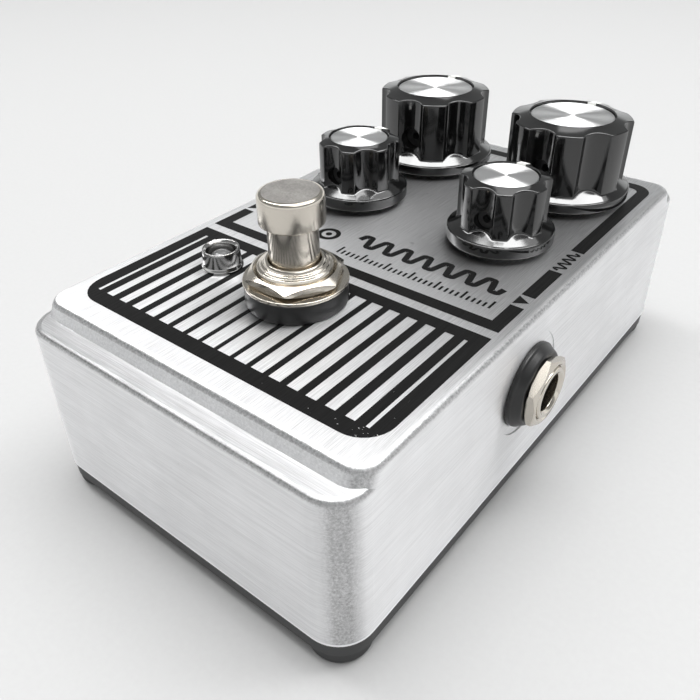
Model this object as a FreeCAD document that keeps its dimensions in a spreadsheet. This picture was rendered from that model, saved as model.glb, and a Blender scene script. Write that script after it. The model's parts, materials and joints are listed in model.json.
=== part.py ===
import FreeCAD, Part
import math
import os
import Sketcher

# A guitar effects pedal. +Z is up, +Y is the rear (knobs and power inlet), +X is the input side.
# The origin is the centre of the footprint on the resting plane. All sizes are millimetres.

DRIVING_DIMENSIONS = {
    # case
    "case_width": 66.0,
    "case_length": 112.9,
    "case_height": 30.34,
    "case_corner": 6.1,
    "case_draft": 0.45,
    "wall_thick": 2.2,
    "roof_thick": 2.3,
    "raised_length": 104.4,
    "raised_corner": 4.0,
    "step_drop": 2.4,
    "step_slope": 1.1,
    "top_round": 1.3,
    "ledge_round": 1.2,
    # underside
    "foot_height": 2.5,
    "foot_radius": 4.9,
    "foot_round": 0.9,
    "foot_floor": 1.4,
    "foot_inset": 5.5,
    "plate_thick": 2.3,
    "plate_inset": 0.2,
    "seam_gap": 0.3,
    "seam_inset": 0.9,
    "boss_radius": 4.0,
    "screw_radius": 1.5,
    "screw_length": 11.0,
    "head_radius": 2.6,
    "head_height": 1.2,
    "drive_reach": 3.64,
    "drive_width": 0.8,
    "clearance": 0.05,
    "spare": 1.0,
    # footswitch
    "switch_y": -26.7,
    "bushing_radius": 6.0,
    "bushing_top": 5.8,
    "bushing_chamfer": 0.4,
    "collar_radius": 4.7,
    "collar_top": 7.2,
    "insulator_radius": 8.16,
    "insulator_thick": 3.35,
    "washer_radius": 8.3,
    "washer_thick": 0.55,
    "switch_nut_flats": 14.0,
    "switch_nut_thick": 1.85,
    "neck_radius": 3.9,
    "cap_radius": 5.04,
    "cap_bottom": 13.2,
    "cap_top": 18.0,
    "cap_round": 0.8,
    "housing_width": 17.0,
    "housing_depth": 16.0,
    "housing_bottom": 16.5,
    "lug_pitch": 4.7,
    "stem_radius": 1.2,
    "stem_bottom": 24.0,
    "spring_bottom": 20.0,
    "spring_top": 31.0,
    "spring_radius": 2.6,
    "wire_radius": 0.4,
    # status light
    "light_x": -16.9,
    "light_rim": 3.18,
    "light_base": 3.54,
    "light_height": 3.52,
    "light_stem": 2.85,
    "light_lip": 0.3,
    "lens_radius": 2.35,
    "light_nut_flats": 8.0,
    "leg_radius": 0.28,
    "leg_spread": 1.2,
    # controls
    "large_x": 15.3,
    "large_y": 35.2,
    "small_x": 15.7,
    "small_y": 9.5,
    "shaft_radius": 3.0,
    "thread_radius": 3.5,
    "thread_top": 3.4,
    "can_radius": 8.2,
    "can_height": 8.0,
    "shaft_depth": 5.6,
    "pin_width": 0.8,
    "pin_pitch": 4.0,
    "pin_row": 4.9,
    "pot_nut_flats": 10.0,
    "pot_nut_thick": 2.0,
    "pot_washer_radius": 5.6,
    "pot_washer_thick": 0.5,
    "knob_gap": 0.9,
    "knob_recess": 6.5,
    "skirt_edge": 1.4,
    "rim_round": 0.3,
    "rim_slope": 0.22,
    "disc_thick": 0.6,
    "shaft_below_disc": 2.2,
    "pointer_width": 1.6,
    "hex_radius": 0.75,
    "hex_depth": 2.0,
    # sockets
    "jack_y": -8.95,
    "jack_z": 22.65,
    "jack_face": 36.9,
    "jack_seat": 32.6,
    "jack_thread": 4.5,
    "jack_bore": 3.25,
    "jack_mouth": 0.5,
    "jack_throat": 3.5,
    "jack_nut_flats": 11.0,
    "jack_nut_thick": 1.8,
    "cone_radius": 7.35,
    "cone_height": 2.3,
    "spotface_radius": 9.0,
    "jack_width": 15.2,
    "jack_depth": 11.5,
    "jack_back": 3.8,
    "jack_back_wall": 1.0,
    "slot_length": 18.9,
    "slot_inset": 4.0,
    "strip_length": 16.2,
    "contact_width": 2.0,
    "contact_thick": 0.4,
    "power_radius": 5.3,
    "power_bore": 3.1,
    "power_pin": 1.05,
    "power_width": 9.0,
    "power_height": 11.0,
    "power_length": 14.4,
    "power_depth": 8.64,
    # boards
    "board_thick": 1.6,
    "main_board_z": 20.0,
    "switch_board_z": 13.0,
    "ribbon_width": 10.2,
    "ribbon_thick": 0.8,
    "ribbon_drop": 2.4,
    # parts under the main board
    "inner_column": 9.8,
    "outer_column": 18.0,
    "front_row": 20.4,
    "rear_row": 31.1,
    "front_cap_radius": 2.8,
    "rear_cap_radius": 2.1,
    "cap_height": 6.6,
    "chip_width": 9.0,
    "chip_length": 6.3,
    "chip_thick": 3.2,
    "chip_pitch": 16.4,
    "chip_row": 11.1,
}

# Each knob size: lobe radius, skirt radius, disc radius, disc face above the panel,
# rim above the disc, top of the skirt's cone above the panel, radius of the flute cutter,
# depth of a flute, then the set screw's radius, length and height above the panel
KNOB_SIZES = {
    "large": {
        "lobe": 11.25, "skirt": 12.75, "disc": 7.68, "face": 15.4, "lip": 0.4,
        "cone": 4.3, "flute": 4.0, "scoop": 1.4, "grip": 2.1, "screw": 5.0, "level": 7.5,
    },
    "small": {
        "lobe": 7.8, "skirt": 9.41, "disc": 5.44, "face": 12.1, "lip": 0.25,
        "cone": 4.2, "flute": 3.2, "scoop": 1.2, "grip": 1.65, "screw": 2.6, "level": 6.3,
    },
}

# Each control: knob size, side of the centre line, degrees turned clockwise from the middle
CONTROLS = {
    "level": ("large", -1, -6.5),
    "gain": ("large", 1, 3.0),
    "low": ("small", -1, 4.0),
    "high": ("small", 1, -1.5),
}

FLUTES = 7
SPRING_TURNS = 8
JACK_NUT_TURN = 7
# Where a round edge drawn as two bevels changes slope, as a share of its radius
EASE = 0.3
# A nut's corners are turned down from this share of its thickness to a round face this share of its flats
NUT_SHOULDER = 0.68
NUT_CROWN = 0.47
JACKS = {"input": 1, "output": -1}
CORNERS = [(1, 1), (-1, 1), (-1, -1), (1, -1)]
UP = FreeCAD.Vector(0, 0, 1)
REARWARD = FreeCAD.Rotation(FreeCAD.Vector(1, 0, 0), -90)
NEAR = 0.01


class Size:
    """A length that knows its expression in the sheet and its present value."""

    def __init__(self, text, value):
        self.text = text
        self.value = value

    def __add__(self, other):
        return combine(self, "+", other, self.value + as_size(other).value)

    def __sub__(self, other):
        return combine(self, "-", other, self.value - as_size(other).value)

    def __mul__(self, other):
        return combine(self, "*", other, self.value * as_size(other).value)

    def __truediv__(self, other):
        return combine(self, "/", other, self.value / as_size(other).value)

    def __neg__(self):
        return as_size(0) - self


def as_size(item):
    if isinstance(item, Size):
        return item
    return Size("%g" % item, float(item))


def combine(left, sign, right, value):
    return Size("(%s %s %s)" % (left.text, sign, as_size(right).text), value)


class Sheet:
    """The driving dimensions, one attribute for each alias."""


doc = FreeCAD.newDocument("effects_pedal")
table = doc.addObject("Spreadsheet::Sheet", "Dims")
dim = Sheet()


def add_dimension(alias, value):
    row = len(vars(dim)) + 1
    table.set("A%d" % row, alias)
    table.set("B%d" % row, str(value))
    table.setAlias("B%d" % row, alias)
    setattr(dim, alias, Size("Dims." + alias, value))


for alias, value in DRIVING_DIMENSIONS.items():
    add_dimension(alias, value)
for size_name, size_values in KNOB_SIZES.items():
    for key, value in size_values.items():
        add_dimension("%s_%s" % (size_name, key), value)
doc.recompute()

# Levels that many pieces share
rim = dim.foot_height + dim.plate_thick + dim.seam_gap
panel = rim + dim.case_height
ceiling = panel - dim.roof_thick

nodes = []


def new(kind, name):
    return doc.addObject(kind, name)


def keep(label, item):
    """Name a finished piece and list it for export."""
    item.Label = label
    nodes.append(item)


def bind(target, prop, size):
    target.setExpression(prop, as_size(size).text)


def put(item, x=0, y=0, z=0, rotation=None):
    """Set an item's turn and bind its place."""
    if rotation:
        item.Placement = FreeCAD.Placement(FreeCAD.Vector(), rotation)
    bind(item, "Placement.Base.x", x)
    bind(item, "Placement.Base.y", y)
    bind(item, "Placement.Base.z", z)
    return item


def cylinder(radius, height, x=0, y=0, z=0, rotation=None):
    item = new("Part::Cylinder", "Cylinder")
    bind(item, "Radius", radius)
    bind(item, "Height", height)
    return put(item, x, y, z, rotation)


def sphere(radius, x, y, z):
    item = new("Part::Sphere", "Sphere")
    bind(item, "Radius", radius)
    return put(item, x, y, z)


def block(length, width, height, x=0, y=0, z=0):
    """A box whose x and y are its centre and whose z is its underside."""
    item = new("Part::Box", "Block")
    bind(item, "Length", length)
    bind(item, "Width", width)
    bind(item, "Height", height)
    return put(item, as_size(x) - as_size(length) / 2, as_size(y) - as_size(width) / 2, z)


def hexagon(corner, height, x=0, y=0, z=0, rotation=None):
    item = new("Part::Prism", "Hexagon")
    item.Polygon = 6
    bind(item, "Circumradius", corner)
    bind(item, "Height", height)
    return put(item, x, y, z, rotation)


def cut(base, *tools):
    """The base less each tool in turn."""
    for tool in tools:
        result = new("Part::Cut", "Cut")
        result.Base = base
        result.Tool = tool
        base = result
    return base


def fuse(*items):
    result = new("Part::MultiFuse", "Fuse")
    result.Shapes = list(items)
    return result


def common(*items):
    result = new("Part::MultiCommon", "Common")
    result.Shapes = list(items)
    return result


def group(items):
    """Separate solids that share one node."""
    result = new("Part::Compound", "Group")
    result.Links = items
    return result


def new_sketch(body, role, height=0):
    """A sketch on one of the body's own origin planes, raised along the plane's normal."""
    sketch = body.newObject("Sketcher::SketchObject", "Sketch")
    plane = [item for item in body.Origin.OriginFeatures if item.Role == role][0]
    sketch.AttachmentSupport = [(plane, "")]
    sketch.MapMode = "FlatFace"
    bind(sketch, "AttachmentOffset.Base.z", height)
    return sketch


def fix(sketch, kind, size, *where):
    """Add one dimension to a sketch and bind it to the sheet."""
    number = sketch.addConstraint(Sketcher.Constraint(kind, *where, as_size(size).value))
    bind(sketch, "Constraints[%d]" % number, size)


def fix_point(sketch, item, point, across, up):
    """Hold a point at a place measured from the sketch's origin."""
    for kind, size, axis in (("DistanceX", as_size(across), -2), ("DistanceY", as_size(up), -1)):
        if size.value == 0:
            sketch.addConstraint(Sketcher.Constraint("PointOnObject", item, point, axis))
        else:
            fix(sketch, kind, size, -1, 1, item, point)


def draw_polygon(sketch, points):
    """A closed outline through (across, up) corners."""
    corners = [FreeCAD.Vector(as_size(across).value, as_size(up).value, 0) for across, up in points]
    count = len(corners)
    for index in range(count):
        sketch.addGeometry(Part.LineSegment(corners[index], corners[(index + 1) % count]), False)
    for index in range(count):
        sketch.addConstraint(Sketcher.Constraint("Coincident", index, 2, (index + 1) % count, 1))
    for index, (across, up) in enumerate(points):
        fix_point(sketch, index, 1, across, up)


def draw_circle(sketch, radius, across=0, up=0):
    centre = FreeCAD.Vector(as_size(across).value, as_size(up).value, 0)
    index = sketch.addGeometry(Part.Circle(centre, UP, as_size(radius).value), False)
    fix(sketch, "Radius", radius, index)
    fix_point(sketch, index, 3, across, up)


def draw_rounded_box(sketch, half_width, half_length, corner):
    """A rounded rectangle about the origin: four arcs joined by four sides."""
    reach_x = (half_width - corner).value
    reach_y = (half_length - corner).value
    for turn, (side_x, side_y) in enumerate(CORNERS):
        whole = Part.Circle(FreeCAD.Vector(side_x * reach_x, side_y * reach_y, 0), UP, corner.value)
        arc = Part.ArcOfCircle(whole, turn * math.pi / 2, (turn + 1) * math.pi / 2)
        sketch.addGeometry(arc, False)
    for turn in range(4):
        side = Part.LineSegment(sketch.getPoint(turn, 2), sketch.getPoint((turn + 1) % 4, 1))
        sketch.addGeometry(side, False)
    for turn in range(4):
        sketch.addConstraint(Sketcher.Constraint("Tangent", turn, 2, 4 + turn, 1))
        sketch.addConstraint(Sketcher.Constraint("Tangent", 4 + turn, 2, (turn + 1) % 4, 1))
    fix(sketch, "Radius", corner, 0)
    fix(sketch, "Radius", corner, 2)
    fix_point(sketch, 0, 3, half_width - corner, half_length - corner)
    fix_point(sketch, 2, 3, corner - half_width, corner - half_length)
    fix(sketch, "Radius", corner, 1)
    sketch.addConstraint(Sketcher.Constraint("Horizontal", 4))


def pad(body, sketch, length):
    feature = body.newObject("PartDesign::Pad", "Pad")
    feature.Profile = sketch
    bind(feature, "Length", length)
    return feature


def pocket(body, sketch, length, upward):
    """Cut from a sketch along its normal (upward) or against it."""
    feature = body.newObject("PartDesign::Pocket", "Pocket")
    feature.Profile = sketch
    feature.Reversed = upward
    bind(feature, "Length", length)
    return feature


def loft(body, *sketches):
    feature = body.newObject("PartDesign::AdditiveLoft", "Loft")
    feature.Profile = sketches[0]
    feature.Sections = list(sketches[1:])
    feature.Ruled = True
    return feature


def lean_walls(body, run, rise):
    """Draft every upright face of the tip inward by run over rise, from the bottom plane."""
    doc.recompute()
    base = body.Tip
    names = ["Face%d" % (index + 1) for index, face in enumerate(base.Shape.Faces)
             if face.BoundBox.ZLength > rise.value / 2]
    plane = [item for item in body.Origin.OriginFeatures if item.Role == "XY_Plane"][0]
    feature = body.newObject("PartDesign::Draft", "Lean")
    feature.Base = (base, names)
    feature.NeutralPlane = (plane, [""])
    feature.setExpression("Angle", "atan(%s / %s)" % (run.text, rise.text))
    return feature


def round_edges(body, radius, wanted):
    """Fillet the edges of the body's tip whose bounds pass the test."""
    doc.recompute()
    base = body.Tip
    names = ["Edge%d" % (index + 1) for index, edge in enumerate(base.Shape.Edges) if wanted(edge.BoundBox)]
    feature = body.newObject("PartDesign::Fillet", "Round")
    feature.Base = (base, names)
    bind(feature, "Radius", radius)
    return feature


def revolve(body, points, kind="PartDesign::Revolution"):
    """Turn an outline of (radius, height) corners about the body's Z axis."""
    sketch = new_sketch(body, "XZ_Plane")
    draw_polygon(sketch, points)
    feature = body.newObject(kind, "Turned")
    feature.Profile = sketch
    feature.ReferenceAxis = (sketch, ["V_Axis"])
    feature.Angle = 360
    return feature


def turned(points, x=0, y=0, z=0, rotation=None):
    body = new("PartDesign::Body", "Turning")
    revolve(body, points)
    return put(body, x, y, z, rotation)


def enclosure_shell():
    """The cast box: open underneath, a step down to a ledge at each end, and a boss in each corner."""
    body = new("PartDesign::Body", "Shell")
    half_width = dim.case_width / 2
    half_length = dim.case_length / 2
    raised_half = dim.raised_length / 2
    step_height = dim.case_height - dim.step_drop
    outline = new_sketch(body, "XY_Plane")
    draw_rounded_box(outline, half_width, half_length, dim.case_corner)
    pad(body, outline, step_height)
    lean_walls(body, dim.case_draft, dim.case_height)
    shelf = step_height.value
    round_edges(body, dim.ledge_round, lambda box: box.ZMin > shelf - NEAR)
    root = step_height - dim.step_drop
    root_lean = dim.case_draft * root / dim.case_height
    block_foot = new_sketch(body, "XY_Plane", root)
    draw_rounded_box(block_foot, half_width - root_lean, raised_half + dim.step_slope, dim.raised_corner)
    block_top = new_sketch(body, "XY_Plane", dim.case_height)
    draw_rounded_box(block_top, half_width - dim.case_draft, raised_half - dim.step_slope, dim.raised_corner)
    loft(body, block_foot, block_top)
    top = dim.case_height.value
    round_edges(body, dim.top_round, lambda box: box.ZMin > top - NEAR)
    inner_width = half_width - dim.wall_thick
    inner_length = half_length - dim.wall_thick
    inner_corner = dim.case_corner - dim.wall_thick
    room = new_sketch(body, "XY_Plane")
    draw_rounded_box(room, inner_width, inner_length, inner_corner)
    pocket(body, room, step_height - dim.roof_thick, True)
    attic = new_sketch(body, "XY_Plane")
    draw_rounded_box(attic, inner_width - dim.case_draft, raised_half - dim.wall_thick, inner_corner)
    pocket(body, attic, dim.case_height - dim.roof_thick, True)
    bosses = new_sketch(body, "XY_Plane")
    for side_x, side_y in CORNERS:
        draw_circle(bosses, dim.boss_radius, *corner_place(side_x, side_y))
    pad(body, bosses, step_height - dim.roof_thick + dim.clearance)
    threads = new_sketch(body, "XY_Plane")
    for side_x, side_y in CORNERS:
        draw_circle(threads, dim.screw_radius + dim.clearance, *corner_place(side_x, side_y))
    pocket(body, threads, dim.screw_length, True)
    openings = new_sketch(body, "XY_Plane", dim.case_height)
    draw_circle(openings, dim.bushing_radius + dim.clearance, 0, dim.switch_y)
    draw_circle(openings, dim.light_stem + dim.clearance, dim.light_x, dim.switch_y)
    for size_name, side, turn in CONTROLS.values():
        x, y = control_place(size_name, side)
        draw_circle(openings, dim.thread_radius + dim.clearance, x, y)
    pocket(body, openings, dim.roof_thick + dim.spare, False)
    put(body, z=rim)
    holes = []
    for side in JACKS.values():
        turn = outward(side)
        hole = dim.jack_thread + dim.clearance
        seat = dim.jack_seat * side
        holes.append(cylinder(hole, half_width, 0, dim.jack_y, dim.jack_z, turn))
        holes.append(cylinder(dim.spotface_radius, dim.cone_height, seat, dim.jack_y, dim.jack_z, turn))
    holes.append(cylinder(dim.power_radius + dim.clearance, half_length, 0, 0, power_centre(), REARWARD))
    keep("enclosure_shell", cut(body, *holes))


def control_place(size_name, side):
    """Where a control stands on the panel."""
    return getattr(dim, size_name + "_x") * side, getattr(dim, size_name + "_y")


def power_centre():
    """Height of the power inlet, hung under the main board."""
    return dim.main_board_z - dim.power_height / 2


def outward(side):
    """The turn that points a piece's own Z axis out through the +X or -X wall."""
    return FreeCAD.Rotation(FreeCAD.Vector(0, 1, 0), 90 * side)


def corner_place(side_x, side_y):
    """Where a foot, its screw and its boss stand."""
    x = (dim.case_width / 2 - dim.foot_inset) * side_x
    y = (dim.case_length / 2 - dim.foot_inset) * side_y
    return x, y


def base_plate():
    """The cover, with a shallow step round its edge that makes the dark seam under the case."""
    body = new("PartDesign::Body", "Plate")
    half_width = dim.case_width / 2
    half_length = dim.case_length / 2
    full_thick = dim.plate_thick + dim.seam_gap
    for inset, thick in ((dim.plate_inset, dim.plate_thick), (dim.seam_inset, full_thick)):
        outline = new_sketch(body, "XY_Plane")
        draw_rounded_box(outline, half_width - inset, half_length - inset, dim.case_corner - inset)
        pad(body, outline, thick)
    holes = new_sketch(body, "XY_Plane")
    for side_x, side_y in CORNERS:
        draw_circle(holes, dim.screw_radius + dim.clearance, *corner_place(side_x, side_y))
    pocket(body, holes, full_thick, True)
    keep("base_plate", put(body, z=dim.foot_height))


def feet():
    """Rubber feet; the screw heads sit in them."""
    hole = dim.screw_radius + dim.clearance
    recess = dim.head_radius + dim.clearance
    rings = []
    for side_x, side_y in CORNERS:
        foot = turned([
            (recess, 0),
            (dim.foot_radius, 0),
            (dim.foot_radius, dim.foot_height),
            (hole, dim.foot_height),
            (hole, dim.foot_floor),
            (recess, dim.foot_floor),
        ], *corner_place(side_x, side_y))
        inside = recess.value * 2 + NEAR
        round_edges(foot, dim.foot_round, lambda box: box.ZMax < NEAR and box.XLength > inside)
        rings.append(foot)
    keep("feet", group(rings))


def base_screws():
    """Screws from under each foot up into the shell's bosses."""
    floor = dim.foot_floor
    slot_z = floor - dim.head_height
    top = floor + dim.screw_length
    screws = []
    for side_x, side_y in CORNERS:
        x, y = corner_place(side_x, side_y)
        solid = turned([
            (0, slot_z),
            (dim.head_radius, slot_z),
            (dim.head_radius, floor),
            (dim.screw_radius, floor),
            (dim.screw_radius, top - dim.screw_radius / 2),
            (dim.screw_radius / 2, top),
            (0, top),
        ], x, y)
        slot = block(dim.drive_reach, dim.drive_width, dim.head_height / 2, x, y, slot_z)
        cross = block(dim.drive_width, dim.drive_reach, dim.head_height / 2, x, y, slot_z)
        screws.append(cut(solid, slot, cross))
    keep("base_screws", group(screws))


def ring(outer, hole, thick, x, y, z):
    """A flat washer."""
    return cut(cylinder(outer, thick, x, y, z), cylinder(hole, thick, x, y, z))


def nut(flats, hole, thick, x=0, y=0, z=0, rotation=None):
    """A hexagon nut whose outer corners are turned down to a cone."""
    corner = flats / math.sqrt(3)
    blank = hexagon(corner, thick, x, y, z, rotation)
    dome = turned([
        (0, 0),
        (corner + dim.clearance, 0),
        (corner + dim.clearance, thick * NUT_SHOULDER),
        (flats * NUT_CROWN, thick),
        (0, thick),
    ], x, y, z, rotation)
    return cut(common(blank, dome), cylinder(hole, thick, x, y, z, rotation))


def footswitch_mounting():
    """The stack that clamps the switch to the panel."""
    hole = dim.bushing_radius + dim.clearance
    y = dim.switch_y
    keep("footswitch_insulator", ring(dim.insulator_radius, hole, dim.insulator_thick, 0, y, panel))
    washer_z = panel + dim.insulator_thick
    keep("footswitch_washer", ring(dim.washer_radius, hole, dim.washer_thick, 0, y, washer_z))
    nut_z = washer_z + dim.washer_thick
    upper = nut(dim.switch_nut_flats, hole, dim.switch_nut_thick, 0, y, nut_z)
    lower = nut(dim.switch_nut_flats, hole, dim.switch_nut_thick, 0, y, ceiling - dim.switch_nut_thick)
    keep("footswitch_nuts", group([upper, lower]))


def footswitch_body():
    """Threaded bushing, hollow housing and solder lugs."""
    y = dim.switch_y
    housing_top = ceiling - dim.switch_nut_thick
    bore = dim.neck_radius + dim.clearance
    chamfer = dim.bushing_chamfer
    keep("footswitch_bushing", turned([
        (bore, housing_top),
        (dim.bushing_radius, housing_top),
        (dim.bushing_radius, panel + dim.bushing_top),
        (dim.bushing_radius - chamfer, panel + dim.bushing_top + chamfer),
        (dim.collar_radius + chamfer, panel + dim.bushing_top + chamfer * 1.5),
        (dim.collar_radius, panel + dim.collar_top - chamfer),
        (dim.collar_radius - chamfer, panel + dim.collar_top),
        (bore, panel + dim.collar_top),
    ], 0, y))
    height = housing_top - dim.housing_bottom
    shell = block(dim.housing_width, dim.housing_depth, height, 0, y, dim.housing_bottom)
    well = cylinder(bore, height, 0, y, dim.spring_bottom)
    keep("footswitch_housing", cut(shell, well))
    lug_height = dim.housing_bottom - dim.switch_board_z - dim.board_thick
    lug_z = dim.switch_board_z + dim.board_thick
    lugs = []
    for column in (-1, 0, 1):
        for row in (-1, 0, 1):
            lug_x = dim.lug_pitch * column
            lug_y = y + dim.lug_pitch * row
            lugs.append(block(dim.contact_width, dim.contact_thick * 2, lug_height, lug_x, lug_y, lug_z))
    keep("footswitch_lugs", group(lugs))


def footswitch_plunger():
    """Cap, neck and stem in one piece; it travels down."""
    cap_top = panel + dim.cap_top
    cap_bottom = panel + dim.cap_bottom
    body = turned([
        (0, dim.stem_bottom),
        (dim.stem_radius, dim.stem_bottom),
        (dim.stem_radius, dim.spring_top),
        (dim.neck_radius, dim.spring_top),
        (dim.neck_radius, cap_bottom),
        (dim.cap_radius - dim.clearance * 2, cap_bottom),
        (dim.cap_radius, cap_bottom + dim.clearance * 2),
        (dim.cap_radius, cap_top),
        (0, cap_top),
    ], 0, dim.switch_y)
    level = cap_top.value
    round_edges(body, dim.cap_round, lambda box: box.ZMin > level - NEAR)
    keep("footswitch_plunger", body)


def footswitch_spring():
    """Return spring between the housing's floor and the plunger's neck."""
    margin = dim.wire_radius + dim.clearance
    length = dim.spring_top - dim.spring_bottom - margin * 2
    path = new("Part::Helix", "Coil")
    bind(path, "Radius", dim.spring_radius)
    bind(path, "Height", length)
    bind(path, "Pitch", length / SPRING_TURNS)
    wire = new("Part::Circle", "Wire")
    bind(wire, "Radius", dim.wire_radius)
    wire.Placement = FreeCAD.Placement(FreeCAD.Vector(), FreeCAD.Rotation(FreeCAD.Vector(1, 0, 0), 90))
    bind(wire, "Placement.Base.x", dim.spring_radius)
    coil = new("Part::Sweep", "Spring")
    coil.Sections = [wire]
    coil.Spine = (path, [])
    coil.Solid = True
    coil.Frenet = True
    keep("footswitch_spring", put(coil, 0, dim.switch_y, dim.spring_bottom + margin))


def status_light():
    """Bezel, clamping nut, lens and legs."""
    x = dim.light_x
    y = dim.switch_y
    wall = dim.lens_radius + dim.clearance
    lip = dim.light_lip
    stem_bottom = ceiling - dim.light_stem
    rim_top = panel + dim.light_height
    body = turned([
        (wall, stem_bottom),
        (dim.light_stem, stem_bottom),
        (dim.light_stem, panel),
        (dim.light_base, panel),
        (dim.light_base, panel + lip),
        (dim.light_rim, panel + lip * 3),
        (dim.light_rim, rim_top - lip / 2),
        (dim.light_rim - lip / 2, rim_top),
        (dim.light_rim - lip, rim_top),
        (wall, rim_top - lip * 3),
    ], x, y)
    keep("led_bezel", body)
    nut_z = ceiling - dim.pot_nut_thick
    keep("led_nut", nut(dim.light_nut_flats, dim.light_stem + dim.clearance, dim.pot_nut_thick, x, y, nut_z))
    dome_z = rim_top - lip * 2 - dim.lens_radius
    column = cylinder(dim.lens_radius, dome_z - stem_bottom, x, y, stem_bottom)
    keep("led_lens", fuse(column, sphere(dim.lens_radius, x, y, dome_z)))
    board_top = dim.switch_board_z + dim.board_thick
    legs = [cylinder(dim.leg_radius, stem_bottom - board_top, x + dim.leg_spread * side, y, board_top)
            for side in (-1, 1)]
    keep("led_legs", group(legs))


def knob(label, size_name, x, y, rotation):
    """A fluted knob with a skirt, a recess over the nut, and a notch that marks the pointer."""
    lobe = getattr(dim, size_name + "_lobe")
    skirt = getattr(dim, size_name + "_skirt")
    disc = getattr(dim, size_name + "_disc")
    face = getattr(dim, size_name + "_face")
    cone = getattr(dim, size_name + "_cone")
    flute = getattr(dim, size_name + "_flute")
    scoop = getattr(dim, size_name + "_scoop")
    lip = getattr(dim, size_name + "_lip")
    top = face + lip
    edge = top - (lobe - disc) * dim.rim_slope
    bevel = dim.rim_round
    recess = dim.knob_recess
    recess_top = dim.thread_top + dim.knob_gap / 3
    body = new("PartDesign::Body", "Knob")
    revolve(body, [
        (0, dim.knob_gap),
        (lobe, dim.knob_gap),
        (lobe, edge - bevel),
        (lobe - bevel * EASE, edge - bevel * EASE),
        (lobe - bevel, edge),
        (disc + dim.clearance, top),
        (disc + dim.clearance, face - dim.disc_thick),
        (0, face - dim.disc_thick),
    ])
    doc.recompute()
    cutter = new_sketch(body, "XY_Plane", dim.knob_gap)
    draw_circle(cutter, flute, 0, -(lobe - scoop + flute))
    first = pocket(body, cutter, top, True)
    pattern = body.newObject("PartDesign::PolarPattern", "Flutes")
    pattern.Originals = [first]
    pattern.Axis = (cutter, ["N_Axis"])
    pattern.Angle = 360
    pattern.Occurrences = FLUTES
    body.Tip = pattern
    revolve(body, [
        (0, dim.knob_gap),
        (skirt, dim.knob_gap),
        (skirt, dim.knob_gap + dim.skirt_edge),
        (lobe - scoop - bevel / 2, cone),
        (0, cone),
    ])
    shaft_top = face - dim.shaft_below_disc
    bore = dim.shaft_radius + dim.clearance
    revolve(body, [
        (0, dim.knob_gap),
        (recess, dim.knob_gap),
        (recess, recess_top),
        (bore, recess_top),
        (bore, shaft_top + dim.clearance),
        (0, shaft_top + dim.clearance),
    ], "PartDesign::Groove")
    put(body, x, y, panel, rotation)
    mark = new("Part::Box", "Mark")
    bind(mark, "Length", dim.pointer_width)
    bind(mark, "Width", lobe)
    bind(mark, "Height", lip)
    start = FreeCAD.Vector(-dim.pointer_width.value / 2, (disc - scoop).value, 0)
    mark.Placement = FreeCAD.Placement(rotation.multVec(start), rotation)
    bind(mark, "Placement.Base.x", x + mark.Placement.Base.x)
    bind(mark, "Placement.Base.y", y + mark.Placement.Base.y)
    bind(mark, "Placement.Base.z", panel + face)
    hole_radius = getattr(dim, size_name + "_grip") + dim.clearance
    hole = forward_cylinder(size_name, x, y, rotation, hole_radius, dim.shaft_radius, lobe)
    keep(label + "_knob", cut(body, mark, hole))


def forward_cylinder(size_name, x, y, rotation, radius, begin, length):
    """A level cylinder, begun at a distance from the knob's axis, out through the flute at the front."""
    height = getattr(dim, size_name + "_level")
    sideways = rotation.multiply(FreeCAD.Rotation(FreeCAD.Vector(1, 0, 0), 90))
    start = rotation.multVec(FreeCAD.Vector(0, -begin.value, 0))
    return cylinder(radius, length, x + start.x, y + start.y, panel + height, sideways)


def control(label, size_name, side, turn):
    """One potentiometer and everything that turns with its shaft."""
    x, y = control_place(size_name, side)
    rotation = FreeCAD.Rotation(UP, -turn)
    disc = getattr(dim, size_name + "_disc")
    face = getattr(dim, size_name + "_face")
    grip_radius = getattr(dim, size_name + "_grip")
    screw = getattr(dim, size_name + "_screw")
    knob(label, size_name, x, y, rotation)
    keep(label + "_knob_disc", turned([
        (0, face - dim.disc_thick),
        (disc, face - dim.disc_thick),
        (disc, face - dim.clearance * 2),
        (disc - dim.clearance * 2, face),
        (0, face),
    ], x, y, panel, rotation))
    shaft_bottom = ceiling - dim.shaft_depth
    shaft_top = panel + face - dim.shaft_below_disc
    shaft = cylinder(dim.shaft_radius, shaft_top - shaft_bottom, x, y, shaft_bottom, rotation)
    keep(label + "_pot_shaft", shaft)
    begin = dim.shaft_radius + dim.clearance
    grip = forward_cylinder(size_name, x, y, rotation, grip_radius, begin, screw)
    socket_begin = begin + screw - dim.hex_depth
    socket = forward_cylinder(size_name, x, y, rotation, dim.hex_radius, socket_begin, screw)
    keep(label + "_set_screw", cut(grip, socket))
    keep(label + "_pot", potentiometer(x, y))


def potentiometer(x, y):
    """Round can with a threaded bushing above it and three pins below it."""
    can = cylinder(dim.can_radius, dim.can_height, x, y, ceiling - dim.can_height)
    thread = cylinder(dim.thread_radius, dim.roof_thick + dim.thread_top, x, y, ceiling)
    board_top = dim.main_board_z + dim.board_thick
    pin_height = ceiling - dim.can_height - board_top + dim.spare
    row = y - dim.pin_row
    pins = [block(dim.pin_width, dim.contact_thick, pin_height, x + dim.pin_pitch * place, row, board_top)
            for place in (-1, 0, 1)]
    bore_bottom = ceiling - dim.shaft_depth - dim.clearance * 2
    bore = cylinder(dim.shaft_radius + dim.clearance, dim.case_height, x, y, bore_bottom)
    return cut(fuse(can, thread, *pins), bore)


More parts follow.
